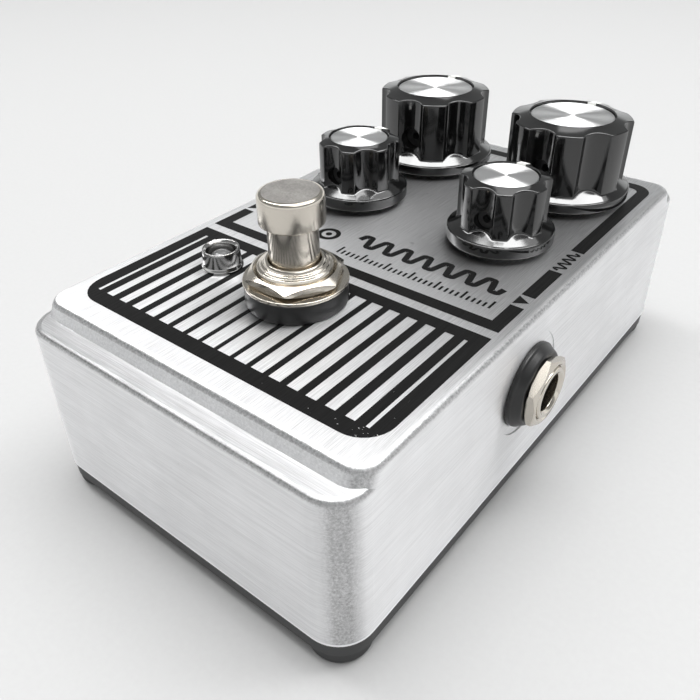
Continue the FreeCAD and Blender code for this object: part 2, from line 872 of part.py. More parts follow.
def pot_fasteners():
    """A washer and a nut on each potentiometer's bushing."""
    hole = dim.thread_radius + dim.clearance
    washers = []
    nuts = []
    for size_name, side, turn in CONTROLS.values():
        x, y = control_place(size_name, side)
        washers.append(ring(dim.pot_washer_radius, hole, dim.pot_washer_thick, x, y, panel))
        nuts.append(nut(dim.pot_nut_flats, hole, dim.pot_nut_thick, x, y, panel + dim.pot_washer_thick))
    keep("pot_washers", group(washers))
    keep("pot_nuts", group(nuts))


def jack(label, side):
    """A 6.35 mm socket through a side wall; its own Z axis points outward."""
    y = dim.jack_y
    z = dim.jack_z
    turn = outward(side)
    wall = dim.case_width / 2 - dim.wall_thick - dim.clearance
    mouth = dim.jack_mouth
    keep(label + "_jack_bushing", turned([
        (dim.jack_bore, wall),
        (dim.jack_thread, wall),
        (dim.jack_thread, dim.jack_face - mouth / 2),
        (dim.jack_thread - mouth / 2, dim.jack_face),
        (dim.jack_bore + mouth, dim.jack_face),
        (dim.jack_bore, dim.jack_face - mouth),
    ], 0, y, z, turn))
    hole = dim.jack_thread + dim.clearance
    keep(label + "_jack_washer", turned([
        (hole, dim.jack_seat),
        (dim.cone_radius, dim.jack_seat),
        (dim.cone_radius, dim.jack_seat + mouth),
        (dim.cone_radius - mouth, dim.jack_seat + mouth * 2),
        (dim.cone_radius - mouth * 2, dim.jack_seat + dim.cone_height),
        (hole, dim.jack_seat + dim.cone_height),
    ], 0, y, z, turn))
    nut_start = (dim.jack_seat + dim.cone_height) * side
    spin = turn.multiply(FreeCAD.Rotation(UP, JACK_NUT_TURN))
    keep(label + "_jack_nut", nut(dim.jack_nut_flats, hole, dim.jack_nut_thick, nut_start, y, z, spin))
    length = wall - dim.jack_back
    centre = (wall + dim.jack_back) / 2
    shell = block(length, dim.jack_width, dim.jack_depth, centre * side, y, z - dim.jack_depth / 2)
    bore = cylinder(dim.jack_throat, length, (dim.jack_back + dim.jack_back_wall) * side, y, z, turn)
    slot_reach = dim.jack_throat + dim.contact_thick * 2
    slot_width = dim.contact_width + dim.clearance * 2
    slot_x = (centre - dim.slot_inset) * side
    slot = block(dim.slot_length, slot_width, slot_reach * 2, slot_x, y, z - slot_reach)
    keep(label + "_jack", cut(shell, bore, slot))
    gap = dim.jack_throat + dim.clearance
    strips = [block(dim.strip_length, dim.contact_width, dim.contact_thick, slot_x, y, level)
              for level in (z + gap, z - gap - dim.contact_thick)]
    keep(label + "_jack_contacts", group(strips))


def power_inlet():
    """Barrel socket for a 2.1 mm plug, hung under the main board and flush with the rear wall."""
    z = power_centre()
    inner = dim.case_length / 2 - dim.wall_thick - dim.clearance
    bottom = dim.main_board_z - dim.power_height
    middle = inner - dim.power_length / 2
    shell = block(dim.power_width, dim.power_length, dim.power_height, 0, middle, bottom)
    nose = cylinder(dim.power_radius, dim.wall_thick, 0, inner, z, REARWARD)
    start = inner - dim.power_depth
    bore = cylinder(dim.power_bore, dim.power_length, 0, start, z, REARWARD)
    keep("dc_jack", cut(fuse(shell, nose), bore))
    keep("dc_jack_pin", cylinder(dim.power_pin, dim.power_depth, 0, start, z, REARWARD))


def boards():
    """Main board under the controls, switch board under the footswitch, ribbon between them."""
    main_front = dim.small_y - dim.can_radius
    main_rear = dim.case_length / 2 - dim.foot_inset - dim.boss_radius - dim.clearance * 4
    main_length = main_rear - main_front
    main_y = (main_front + main_rear) / 2
    main_width = dim.case_width - dim.wall_thick * 2 - dim.contact_width
    keep("main_board", block(main_width, main_length, dim.board_thick, 0, main_y, dim.main_board_z))
    small_width = dim.housing_width / 2 - dim.light_x + dim.lens_radius * 2
    small_x = (dim.housing_width / 2 + dim.light_x - dim.lens_radius * 2) / 2
    small_length = dim.housing_depth + dim.contact_width
    small = block(small_width, small_length, dim.board_thick, small_x, dim.switch_y, dim.switch_board_z)
    keep("switch_board", small)


def ribbon_cable():
    """A flat cable that drops from the main board and runs under the sockets to the switch board."""
    body = new("PartDesign::Body", "Ribbon")
    thick = dim.ribbon_thick
    start = dim.small_y - dim.can_radius + thick
    end = dim.switch_y + dim.housing_depth / 2 - dim.contact_width
    low = dim.switch_board_z - dim.ribbon_drop
    outline = new_sketch(body, "YZ_Plane")
    draw_polygon(outline, [
        (start, dim.main_board_z),
        (start, low + thick),
        (end + thick, low + thick),
        (end + thick, dim.switch_board_z),
        (end, dim.switch_board_z),
        (end, low),
        (start + thick, low),
        (start + thick, dim.main_board_z),
    ])
    band = pad(body, outline, dim.ribbon_width)
    band.Midplane = True
    keep("ribbon_cable", body)


def components():
    """Parts that hang under the main board, clear of the power inlet."""
    height = dim.cap_height
    under = dim.main_board_z
    cans = []
    for side in (-1, 1):
        for column in (dim.inner_column, dim.outer_column):
            cans.append(cylinder(dim.front_cap_radius, height, column * side, dim.front_row, under - height))
            cans.append(cylinder(dim.rear_cap_radius, height, column * side, dim.rear_row, under - height))
    keep("capacitors", group(cans))
    thick = dim.chip_thick
    y = dim.chip_row
    chips = [block(dim.chip_width, dim.chip_length, thick, dim.chip_pitch * place, y, under - thick)
             for place in (-1, 0, 1)]
    keep("op_amps", group(chips))


enclosure_shell()
base_plate()
feet()
base_screws()
footswitch_mounting()
footswitch_body()
footswitch_plunger()
footswitch_spring()
status_light()
for control_label, (control_size, control_side, control_turn) in CONTROLS.items():
    control(control_label, control_size, control_side, control_turn)
pot_fasteners()
for jack_label, jack_side in JACKS.items():
    jack(jack_label, jack_side)
power_inlet()
boards()
ribbon_cable()
components()
doc.recompute()

for item in doc.Objects:
    if "Invalid" in item.State or "Error" in item.State:
        raise RuntimeError("%s is not valid" % item.Name)
for item in nodes:
    if item.Shape.isNull() or not item.Shape.isValid():
        raise RuntimeError("%s has no valid shape" % item.Label)

os.makedirs("parts", exist_ok=True)
for item in nodes:
    item.Shape.exportStep("parts/%s.step" % item.Label)
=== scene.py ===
import json
import math

import bmesh
import bpy
import numpy as np
from mathutils import Matrix, Vector


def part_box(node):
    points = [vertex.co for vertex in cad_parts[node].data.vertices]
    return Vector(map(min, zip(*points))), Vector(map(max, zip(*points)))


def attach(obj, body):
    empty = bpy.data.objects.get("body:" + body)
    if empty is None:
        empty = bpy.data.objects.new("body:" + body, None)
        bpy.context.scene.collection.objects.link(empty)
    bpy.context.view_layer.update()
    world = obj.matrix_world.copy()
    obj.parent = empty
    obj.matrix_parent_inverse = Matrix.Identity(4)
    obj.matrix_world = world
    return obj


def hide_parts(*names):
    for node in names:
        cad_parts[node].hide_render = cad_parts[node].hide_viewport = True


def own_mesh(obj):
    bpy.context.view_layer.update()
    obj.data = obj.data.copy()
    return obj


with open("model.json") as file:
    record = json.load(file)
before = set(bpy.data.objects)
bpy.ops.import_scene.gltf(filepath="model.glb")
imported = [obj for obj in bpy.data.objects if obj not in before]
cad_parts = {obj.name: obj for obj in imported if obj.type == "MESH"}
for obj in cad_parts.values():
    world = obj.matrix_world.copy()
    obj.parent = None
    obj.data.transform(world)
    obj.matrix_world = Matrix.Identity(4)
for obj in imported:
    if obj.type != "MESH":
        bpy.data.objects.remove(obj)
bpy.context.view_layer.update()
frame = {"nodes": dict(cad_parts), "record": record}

# Metres, in the CAD frame: +Z up, +Y to the rear of the pedal, +X to its input side.
MM = 0.001
TURN = 2 * math.pi

JACKS = {"input": 1, "output": -1}
FLUTES = 7
RIM_SLOPE = 0.22
POINTER_WIDTH = 1.6 * MM
SWITCH_FLATS = 14 * MM
JACK_FLATS = 11 * MM
JACK_NUT_TURN = 7
PRINT_THICK = 0.03 * MM
PRINT_LIFT = 0.02 * MM
PRINT_HALF = 30.0 * MM
PRINT_BAND = 2.35 * MM
AXIS = 0.001 * MM

STRIP_RADIANCE = 11.0
BANK_RADIANCE = 1.75
FILL_RADIANCE = 0.75
HORIZON = 0.8
AMBIENT = 0.30
BACKDROP_TOP = 0.30
BACKDROP_FULL = 0.22

CAMERA_LENS = 37.14
CAMERA_YAW = math.radians(-39.042)
CAMERA_PITCH = math.radians(35.963)
CAMERA_ROLL = math.radians(-1.039)
CAMERA_PLACE = Vector((67.57, -97.07, 90.41)) * MM


class KnobShape:
    """Radii and depths of a knob that its box in the frame does not give."""

    def __init__(self, lobe, scoop, cutter, lip, bevel, edge, cone):
        self.lobe = lobe * MM
        self.scoop = scoop * MM
        self.cutter = cutter * MM
        self.lip = lip * MM
        self.bevel = bevel * MM
        self.edge = edge * MM
        self.cone = cone * MM


LARGE = KnobShape(lobe=11.25, scoop=1.4, cutter=4.0, lip=0.40, bevel=0.30, edge=1.9, cone=3.85)
SMALL = KnobShape(lobe=7.8, scoop=1.2, cutter=3.2, lip=0.25, bevel=0.40, edge=2.2, cone=3.7)
CONTROLS = {"level": LARGE, "gain": LARGE, "low": SMALL, "high": SMALL}


# ---------------------------------------------------------------- places read from the frame

class Span:
    """The box of one CAD node: lowest and highest corner, middle and size."""

    def __init__(self, node):
        self.low, self.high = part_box(node)
        self.mid = (self.low + self.high) / 2
        self.size = self.high - self.low


SHELL = Span("enclosure_shell")
PANEL = SHELL.high.z
RIM = SHELL.low.z


# ---------------------------------------------------------------- mesh building

def add_mesh(name, verts, faces, mat, body, sharp=35):
    """A named, smooth-shaded piece with one material that rides on a body."""
    mesh = bpy.data.meshes.new(name)
    mesh.from_pydata([tuple(v) for v in verts], [], faces)
    return add_piece(name, mesh, mat, body, sharp)


def add_piece(name, mesh, mat, body, sharp=35):
    """The same, from a finished mesh."""
    mesh.validate()
    mesh.materials.clear()
    mesh.materials.append(mat)
    mesh.shade_smooth()
    mesh.set_sharp_from_angle(angle=math.radians(sharp))
    piece = bpy.data.objects.new(name, mesh)
    bpy.context.scene.collection.objects.link(piece)
    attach(piece, body)
    return piece


def rounded(outline, radius, steps=4):
    """The outline with each inner corner replaced by a short arc, so that edges catch the light."""
    points = [np.array(point, float) for point in outline]
    result = [points[0]]
    for before, corner, after in zip(points, points[1:], points[2:]):
        to_before = before - corner
        to_after = after - corner
        reach_before = np.linalg.norm(to_before)
        reach_after = np.linalg.norm(to_after)
        reach = min(radius, reach_before * 0.45, reach_after * 0.45)
        begin = corner + to_before / reach_before * reach
        end = corner + to_after / reach_after * reach
        for step in range(steps + 1):
            t = step / steps
            result.append(begin * (1 - t) ** 2 + corner * 2 * t * (1 - t) + end * t ** 2)
    result.append(points[-1])
    return result


def ring_stack(rings, around, shape=None, close=False):
    """Vertices and quads of stacked rings about Z. shape(angle, radius, height) may move a point."""
    verts = []
    for radius, height in rings:
        for step in range(around):
            angle = TURN * step / around
            r, h = (radius, height) if shape is None else shape(angle, radius, height)
            verts.append(Vector((r * math.cos(angle), r * math.sin(angle), h)))
    faces = []
    count = len(rings)
    for level in range(count if close else count - 1):
        here = level * around
        there = ((level + 1) % count) * around
        for step in range(around):
            after = (step + 1) % around
            faces.append((here + step, here + after, there + after, there + step))
    if not close:
        faces.append(tuple(reversed(range(around))))
        faces.append(tuple(range((count - 1) * around, count * around)))
    return verts, faces


def outward(side):
    """Turns +Z to point out of the +X wall (side 1) or the -X wall (side -1)."""
    return Matrix.Rotation(math.radians(90) * side, 4, "Y")


def lathe(name, outline, origin, mat, body, soft=0.12 * MM, around=128, turn=None, close=True):
    """A turned piece: an outline of (radius, height) swept about an axis through origin."""
    path = [tuple(p) for p in outline]
    if close:
        path = path + [path[0], path[1]]
    rings = rounded(path, soft)
    if close:
        rings = rings[1:-1]
    verts, faces = ring_stack(rings, around, close=close)
    move = Matrix.Translation(origin) @ (turn or Matrix())
    return add_mesh(name, [move @ v for v in verts], faces, mat, body)


def flat_print(name, outlines):
    """A thin black print on the panel. outlines are closed (x, y) loops; one inside another is a hole."""
    curve = bpy.data.curves.new(name, "CURVE")
    curve.dimensions = "2D"
    curve.fill_mode = "BOTH"
    curve.extrude = PRINT_THICK / 2
    for loop in outlines:
        spline = curve.splines.new("POLY")
        spline.points.add(len(loop) - 1)
        for point, (x, y) in zip(spline.points, loop):
            point.co = (x, y, 0, 1)
        spline.use_cyclic_u = True
    holder = bpy.data.objects.new(name + "_curve", curve)
    mesh = bpy.data.meshes.new_from_object(holder)
    bpy.data.objects.remove(holder)
    mesh.transform(Matrix.Translation((0, 0, PANEL + PRINT_LIFT)))
    return add_piece(name, mesh, INK, "pedal")


def corner_arc(x, y, radius, start, steps=8):
    """Points of a quarter circle about (x, y), from start degrees counter-clockwise."""
    angles = [math.radians(start + 90 * step / steps) for step in range(steps + 1)]
    return [(x + radius * math.cos(a), y + radius * math.sin(a)) for a in angles]


def circle_loop(radius, steps=48):
    """Points of a full circle about the origin."""
    angles = [TURN * step / steps for step in range(steps)]
    return [(radius * math.cos(a), radius * math.sin(a)) for a in angles]


def box_loop(x0, y0, x1, y1, rear=0, front=0):
    """A rectangle whose rear and front corners may be rounded, counter-clockwise from the rear right."""
    loop = []
    for x, y, radius, start, way in ((x1, y1, rear, 0, -1), (x0, y1, rear, 90, 1),
                                     (x0, y0, front, 180, 1), (x1, y0, front, 270, -1)):
        side_y = -1 if y == y1 else 1
        if radius:
            loop += corner_arc(x + radius * way, y + radius * side_y, radius, start)
        else:
            loop.append((x, y))
    return loop


# ---------------------------------------------------------------- node graphs

class Graph:
    """Short forms for building a tree of shader nodes."""

    def __init__(self, tree, space="Object"):
        self.tree = tree
        self.place = tree.nodes.new("ShaderNodeTexCoord").outputs[space]

    def node(self, kind, settings=None, **inputs):
        """A new node with its settings, and its inputs fed by name."""
        item = self.tree.nodes.new("ShaderNode" + kind)
        for key, value in (settings or {}).items():
            setattr(item, key, value)
        for key, value in inputs.items():
            self.feed(item, key.replace("_", " "), value)
        return item

    def feed(self, item, key, value):
        """Link an input, or set it, by its name or its number."""
        socket = item.inputs[int(key) if key.isdigit() else key]
        if isinstance(value, bpy.types.NodeSocket):
            self.tree.links.new(value, socket)
        else:
            socket.default_value = value

    def math(self, operation, first, second=0.0):
        """One sum on one or two numbers."""
        item = self.node("Math", {"operation": operation})
        self.feed(item, "0", first)
        self.feed(item, "1", second)
        return item.outputs[0]

    def stretched(self, scale):
        """Object coordinates scaled by a different amount on each axis."""
        return self.node("Mapping", Vector=self.place, Scale=scale).outputs[0]

    def noise(self, vector, scale, detail=4.0, rough=0.5):
        """Fractal noise between 0 and 1."""
        item = self.node("TexNoise", Vector=vector, Scale=scale, Detail=detail, Roughness=rough)
        return item.outputs["Fac"]

    def ramp(self, value, low, high, low_out=0.0, high_out=1.0):
        """A straight ramp of value, held at both ends."""
        item = self.node("MapRange", Value=value, From_Min=low, From_Max=high,
                         To_Min=low_out, To_Max=high_out)
        return item.outputs[0]

    def mix(self, factor, first, second):
        """A mix of two numbers."""
        item = self.node("Mix", {"data_type": "FLOAT"})
        for key, value in (("0", factor), ("2", first), ("3", second)):
            self.feed(item, key, value)
        return item.outputs[0]

    def blend_colors(self, factor, first, second):
        """A mix of two colours."""
        item = self.node("Mix", {"data_type": "RGBA"})
        for key, value in (("0", factor), ("6", first), ("7", second)):
            self.feed(item, key, value)
        return item.outputs[2]

    def bump(self, height, strength, distance, base=None):
        """A surface normal shaded as if raised by height, on top of base."""
        item = self.node("Bump", Height=height, Strength=strength, Distance=distance)
        if base:
            self.feed(item, "Normal", base)
        return item.outputs[0]


class Paint(Graph):
    """The nodes of one material, round its Principled shader."""

    def __init__(self, name):
        self.material = bpy.data.materials.new(name)
        self.material.use_nodes = True
        super().__init__(self.material.node_tree)
        self.shader = self.tree.nodes["Principled BSDF"]

    def finish(self, **inputs):
        """Feed the shader and hand back the material."""
        for key, value in inputs.items():
            self.feed(self.shader, key.replace("_", " "), value)
        return self.material


def grey(value):
    """A neutral colour."""
    return (value, value, value, 1)


# ---------------------------------------------------------------- materials

def brushed_case():
    """Linished aluminium: streaks along Y on top, level streaks on the walls, rounds mottled and darkened
    with painted shade, and a painted highlight along the bottom edge.
    """
    g = Paint("brushed_case")
    normal = g.node("NewGeometry").outputs["Normal"]
    size = g.node("VectorMath", {"operation": "ABSOLUTE"})
    g.feed(size, "0", normal)
    parts = g.node("SeparateXYZ", Vector=size.outputs[0])
    across, along, up = parts.outputs
    squareness = g.math("MAXIMUM", g.math("MAXIMUM", across, along), up)
    rounds = g.ramp(squareness, 0.98, 0.82)
    streaks_top = g.noise(g.stretched((9000, 150, 9000)), 1.0, 6, 0.68)
    streaks_side = g.noise(g.stretched((900, 90, 6000)), 1.0, 6, 0.66)
    streaks_end = g.noise(g.stretched((90, 900, 6000)), 1.0, 6, 0.66)
    walls = g.mix(g.math("GREATER_THAN", across, along), streaks_end, streaks_side)
    flat = g.ramp(up, 0.7, 0.8)
    height = g.node("SeparateXYZ", Vector=g.place).outputs[2]
    plateau = g.ramp(height, PANEL - 1.0 * MM, PANEL - 0.6 * MM)
    ledge = g.math("MULTIPLY", flat, g.math("SUBTRACT", 1.0, plateau))
    streaks_ledge = g.noise(g.stretched((120, 7000, 7000)), 1.0, 6, 0.68)
    streaks = g.mix(flat, walls, g.mix(ledge, streaks_top, streaks_ledge))
    grain = g.noise(g.place, 2600, 4, 0.75)
    surface = g.mix(rounds, streaks, grain)
    blotch = g.noise(g.place, 75, 4, 0.6)
    long_marks = g.noise(g.stretched((2600, 45, 2600)), 1.0, 2, 0.5)
    scratches = g.math("MULTIPLY", g.ramp(long_marks, 0.68, 0.74), g.ramp(blotch, 0.45, 0.6))
    pits = g.ramp(g.noise(g.place, 520, 1, 0.4), 0.78, 0.84)
    tone = g.ramp(surface, 0.25, 0.75, g.ramp(up, 0.7, 0.8, 0.74, 0.50), 0.96)
    shade = g.ramp(blotch, 0.3, 0.7, 0.95, 1.04)
    # Mottled finish with painted shade: the rounded corners and edges are darkened down to 0.42, broken up by
    # the grain.
    mottle_and_painted_shade = g.ramp(g.math("MULTIPLY", rounds, g.ramp(grain, 0.30, 0.66, 1.0, 0.5)), 0.0, 1.0, 1.0, 0.42)
    level = g.math("MULTIPLY", g.math("MULTIPLY", tone, shade), mottle_and_painted_shade)
    level = g.math("MULTIPLY", level, g.ramp(pits, 0.0, 1.0, 1.0, 0.75))
    level = g.math("MULTIPLY", level, g.mix(ledge, 1.0, 0.78))
    # Painted highlight: the bottom 0.35 to 0.5 mm of the case is turned near white, for the lit lower edge
    # above the seam.
    edge = g.ramp(height, RIM + 0.50 * MM, RIM + 0.35 * MM)
    level = g.mix(edge, level, 0.97)
    color = g.node("CombineColor", Red=level, Green=level, Blue=g.math("MULTIPLY", level, 1.01)).outputs[0]
    rough = g.math("ADD", g.ramp(surface, 0.3, 0.7, 0.50, 0.40), g.math("MULTIPLY", rounds, -0.03))
    bumps = g.bump(surface, 0.25, 0.02 * MM)
    bumps = g.bump(g.math("ADD", scratches, pits), 0.3, 0.03 * MM, bumps)
    spread = g.node("CombineXYZ", X=g.math("SUBTRACT", flat, ledge), Y=ledge,
                    Z=g.math("SUBTRACT", 1.0, flat)).outputs[0]
    return g.finish(Base_Color=color, Metallic=1.0, Roughness=rough, Normal=bumps, Tangent=spread,
                    Anisotropic=g.ramp(rounds, 0.0, 1.0, 0.85, 0.2))


def print_ink():
    """Black screen print with pinholes and chips that show bare metal, most of them at the front right."""
    g = Paint("print_ink")
    parts = g.node("SeparateXYZ", Vector=g.place)
    rightward = g.ramp(parts.outputs[0], 5 * MM, 28 * MM)
    frontward = g.ramp(parts.outputs[1], -30 * MM, -46 * MM)
    toward_corner = g.math("MULTIPLY", rightward, frontward)
    limit = g.ramp(toward_corner, 0.0, 1.0, 0.84, 0.69)
    chips = g.noise(g.place, 2300, 2, 0.5)
    pinholes = g.ramp(g.math("SUBTRACT", chips, limit), 0.0, 0.02)
    wear = g.noise(g.stretched((2600, 120, 2600)), 1.0, 3, 0.6)
    rubbed = g.math("MULTIPLY", g.ramp(wear, 0.74, 0.80), g.ramp(toward_corner, 0.2, 0.9))
    bare = g.math("MAXIMUM", pinholes, g.math("MULTIPLY", rubbed, 0.8))
    streaks = g.noise(g.stretched((7000, 160, 7000)), 1.0, 4, 0.6)
    tone = g.ramp(streaks, 0.3, 0.7, 0.003, 0.008)
    ink = g.node("CombineColor", Red=tone, Green=tone, Blue=tone).outputs[0]
    color = g.blend_colors(bare, ink, grey(0.78))
    rough = g.ramp(streaks, 0.3, 0.7, 0.50, 0.36)
    normal = g.bump(streaks, 0.2, 0.02 * MM)
    return g.finish(Base_Color=color, Metallic=bare, Roughness=rough, Normal=normal,
                    Specular_IOR_Level=0.08)


def nickel(name, tone=0.60, rough=0.13, warm=0.07):
    """Warm polished nickel with faint turning marks and handling haze."""
    g = Paint(name)
    haze = g.noise(g.place, 260, 4, 0.6)
    fine = g.noise(g.stretched((1500, 1500, 9000)), 1.0, 3, 0.6)
    level = g.ramp(haze, 0.3, 0.7, tone * 0.96, tone * 1.03)
    red = g.math("MULTIPLY", level, 1 + warm)
    blue = g.math("MULTIPLY", level, 1 - warm * 1.6)
    color = g.node("CombineColor", Red=red, Green=level, Blue=blue).outputs[0]
    cloudy = g.ramp(haze, 0.3, 0.75, rough, rough * 1.7)
    roughness = g.math("ADD", cloudy, g.ramp(fine, 0.55, 0.8, 0.0, 0.08))
    return g.finish(Base_Color=color, Metallic=1.0, Roughness=roughness,
                    Normal=g.bump(fine, 0.08, 0.01 * MM))


def satin_nickel():
    """The blasted face of the footswitch cap."""
    g = Paint("satin_nickel")
    grain = g.noise(g.place, 4200, 3, 0.7)
    blotch = g.noise(g.place, 420, 3, 0.6)
    pebbles = g.ramp(grain, 0.35, 0.65, 0.78, 1.22)
    level = g.math("MULTIPLY", g.ramp(blotch, 0.3, 0.7, 0.27, 0.36), pebbles)
    color = g.node("CombineColor", Red=g.math("MULTIPLY", level, 1.04), Green=level,
                   Blue=g.math("MULTIPLY", level, 0.95)).outputs[0]
    return g.finish(Base_Color=color, Metallic=1.0, Roughness=g.ramp(grain, 0.3, 0.7, 0.42, 0.60),
                    Normal=g.bump(grain, 0.5, 0.03 * MM))


def spun_disc():
    """Spun aluminium whose fine rings spread each light into a bow tie."""
    g = Paint("spun_disc")
    centred = g.node("VectorMath", {"operation": "SUBTRACT"})
    middle = g.node("TexCoord").outputs["Generated"]
    g.feed(centred, "0", middle)
    g.feed(centred, "1", (0.5, 0.5, 0.5))
    flat = g.node("VectorMath", {"operation": "MULTIPLY"})
    g.feed(flat, "0", centred.outputs[0])
    g.feed(flat, "1", (1, 1, 0))
    radius = g.node("VectorMath", {"operation": "LENGTH"})
    g.feed(radius, "0", flat.outputs[0])
    turning = g.node("TexNoise", {"noise_dimensions": "1D"}, W=radius.outputs["Value"],
                     Scale=260.0, Detail=4.0)
    rings = turning.outputs["Fac"]
    level = g.ramp(rings, 0.3, 0.7, 0.80, 0.93)
    color = g.node("CombineColor", Red=level, Green=level, Blue=level).outputs[0]
    tangent = g.node("Tangent", {"direction_type": "RADIAL", "axis": "Z"}).outputs[0]
    rough = g.ramp(rings, 0.3, 0.7, 0.50, 0.44)
    return g.finish(Base_Color=color, Metallic=1.0, Roughness=rough, Anisotropic=1.0,
                    Anisotropic_Rotation=0.25, Tangent=tangent, Normal=g.bump(rings, 0.1, 0.02 * MM))


def moulded(name, tone, rough, grain_size, grain_depth, shine=0.5):
    """Moulded or powder-coated dark plastic, rubber or paint with a fine grain and uneven gloss."""
    g = Paint(name)
    grain = g.noise(g.place, grain_size, 4, 0.6)
    haze = g.noise(g.place, 130, 4, 0.55)
    level = g.ramp(haze, 0.3, 0.7, tone * 0.85, tone * 1.2)
    color = g.node("CombineColor", Red=level, Green=level, Blue=g.math("MULTIPLY", level, 1.02)).outputs[0]
    return g.finish(Base_Color=color, Roughness=g.ramp(haze, 0.3, 0.7, rough * 0.9, rough * 1.15),
                    Specular_IOR_Level=shine, Normal=g.bump(grain, 0.4, grain_depth))


def pointer_paint():
    """White paint filled into the moulded pointer line."""
    g = Paint("pointer_paint")
    grain = g.noise(g.place, 5000, 3, 0.6)
    level = g.ramp(grain, 0.3, 0.7, 0.80, 0.88)
    color = g.node("CombineColor", Red=level, Green=level, Blue=g.math("MULTIPLY", level, 0.97)).outputs[0]
    return g.finish(Base_Color=color, Roughness=0.45, Normal=g.bump(grain, 0.2, 0.02 * MM))


def lens_resin():
    """Clear grey resin over an unlit diode."""
    g = Paint("lens_resin")
    cloud = g.noise(g.place, 900, 3, 0.5)
    level = g.ramp(cloud, 0.3, 0.7, 0.10, 0.16)
    color = g.node("CombineColor", Red=level, Green=level, Blue=level).outputs[0]
    return g.finish(Base_Color=color, Roughness=g.ramp(cloud, 0.3, 0.7, 0.05, 0.10), Transmission_Weight=0.35,
                    IOR=1.52)


def brass():
    """Bright contact brass with slight tarnish."""
    g = Paint("brass")
    tarnish = g.noise(g.place, 700, 4, 0.6)
    dull = g.ramp(tarnish, 0.35, 0.7)
    color = g.blend_colors(dull, (0.80, 0.62, 0.30, 1), (0.55, 0.38, 0.18, 1))
    return g.finish(Base_Color=color, Metallic=1.0, Roughness=g.ramp(tarnish, 0.3, 0.7, 0.22, 0.42))


def steel():
    """Zinc-plated steel for screws, springs, washers and potentiometer cans."""
    g = Paint("steel")
    spangle = g.node("TexVoronoi", Vector=g.place, Scale=900.0).outputs["Color"]
    flake = g.node("RGBToBW", Color=spangle).outputs[0]
    marks = g.noise(g.stretched((3000, 3000, 400)), 1.0, 3, 0.6)
    level = g.ramp(flake, 0.0, 1.0, 0.52, 0.62)
    color = g.node("CombineColor", Red=level, Green=level, Blue=g.math("MULTIPLY", level, 1.03)).outputs[0]
    return g.finish(Base_Color=color, Metallic=1.0, Roughness=g.ramp(marks, 0.3, 0.7, 0.26, 0.42),
                    Normal=g.bump(marks, 0.15, 0.02 * MM))


def circuit_board():
    """Green solder mask with straight tracks raised under it and small tinned pads."""
    g = Paint("circuit_board")
    tracks = g.node("TexBrick", {"offset": 0.37}, Vector=g.place, Scale=520.0, Mortar_Size=0.035,
                    Color1=grey(0), Color2=grey(0), Mortar=grey(1)).outputs["Color"]
    track = g.node("RGBToBW", Color=tracks).outputs[0]
    cells = g.node("TexVoronoi", Vector=g.place, Scale=330.0).outputs["Distance"]
    pads = g.ramp(cells, 0.17, 0.13)
    mask = g.blend_colors(track, (0.006, 0.075, 0.035, 1), (0.016, 0.16, 0.07, 1))
    color = g.blend_colors(pads, mask, (0.72, 0.72, 0.70, 1))
    return g.finish(Base_Color=color, Metallic=pads, Roughness=g.ramp(pads, 0.0, 1.0, 0.30, 0.22),
                    Normal=g.bump(g.math("ADD", track, pads), 0.5, 0.04 * MM))


def flat_cable():
    """Grey ribbon with moulded ribs, one edge conductor marked red."""
    g = Paint("flat_cable")
    parts = g.node("SeparateXYZ", Vector=g.place)
    ribs = g.math("SINE", g.math("MULTIPLY", parts.outputs[0], TURN / (1.27 * MM)))
    edge = g.ramp(parts.outputs[0], -4.0 * MM, -4.1 * MM)
    color = g.blend_colors(edge, (0.36, 0.37, 0.39, 1), (0.55, 0.03, 0.03, 1))
    return g.finish(Base_Color=color, Roughness=0.45, Normal=g.bump(ribs, 0.6, 0.15 * MM))


def capacitor_sleeve():
    """Dark blue shrink sleeve with a pale polarity stripe and a bare aluminium end."""
    g = Paint("capacitor_sleeve")
    normal = g.node("NewGeometry").outputs["Normal"]
    parts = g.node("SeparateXYZ", Vector=normal)
    stripe = g.ramp(parts.outputs[1], 0.92, 0.94)
    end = g.ramp(g.math("ABSOLUTE", parts.outputs[2]), 0.9, 0.95)
    wrinkle = g.noise(g.stretched((900, 900, 200)), 1.0, 3, 0.6)
    sleeve = g.blend_colors(stripe, (0.015, 0.025, 0.08, 1), (0.62, 0.64, 0.66, 1))
    color = g.blend_colors(end, sleeve, grey(0.75))
    return g.finish(Base_Color=color, Metallic=end, Roughness=g.ramp(wrinkle, 0.3, 0.7, 0.22, 0.34),
                    Normal=g.bump(wrinkle, 0.15, 0.05 * MM))


MATERIALS = {
    "brushed_case": brushed_case(),
    "dark_plate": moulded("dark_plate", 0.030, 0.50, 2600, 0.05 * MM),
    "foot_rubber": moulded("foot_rubber", 0.030, 0.62, 1800, 0.05 * MM),
    "screw_steel": steel(),
    "black_plastic": moulded("black_plastic", 0.010, 0.36, 3000, 0.02 * MM),
    "nickel": nickel("nickel"),
    "contact_brass": brass(),
    "bezel_chrome": nickel("bezel_chrome", 0.48, 0.10, 0.01),
    "lens_glass": lens_resin(),
    "board_green": circuit_board(),
    "cable_grey": flat_cable(),
    "capacitor_sleeve": capacitor_sleeve(),
    "knob_gloss": moulded("knob_gloss", 0.003, 0.10, 700, 0.002 * MM, 0.9),
    "spun_aluminium": spun_disc(),
    "can_steel": steel(),
}
INK = print_ink()
DARK_STEEL = moulded("dark_steel", 0.02, 0.35, 2600, 0.02 * MM)
PAINT = pointer_paint()
SATIN = satin_nickel()


# ---------------------------------------------------------------- pieces

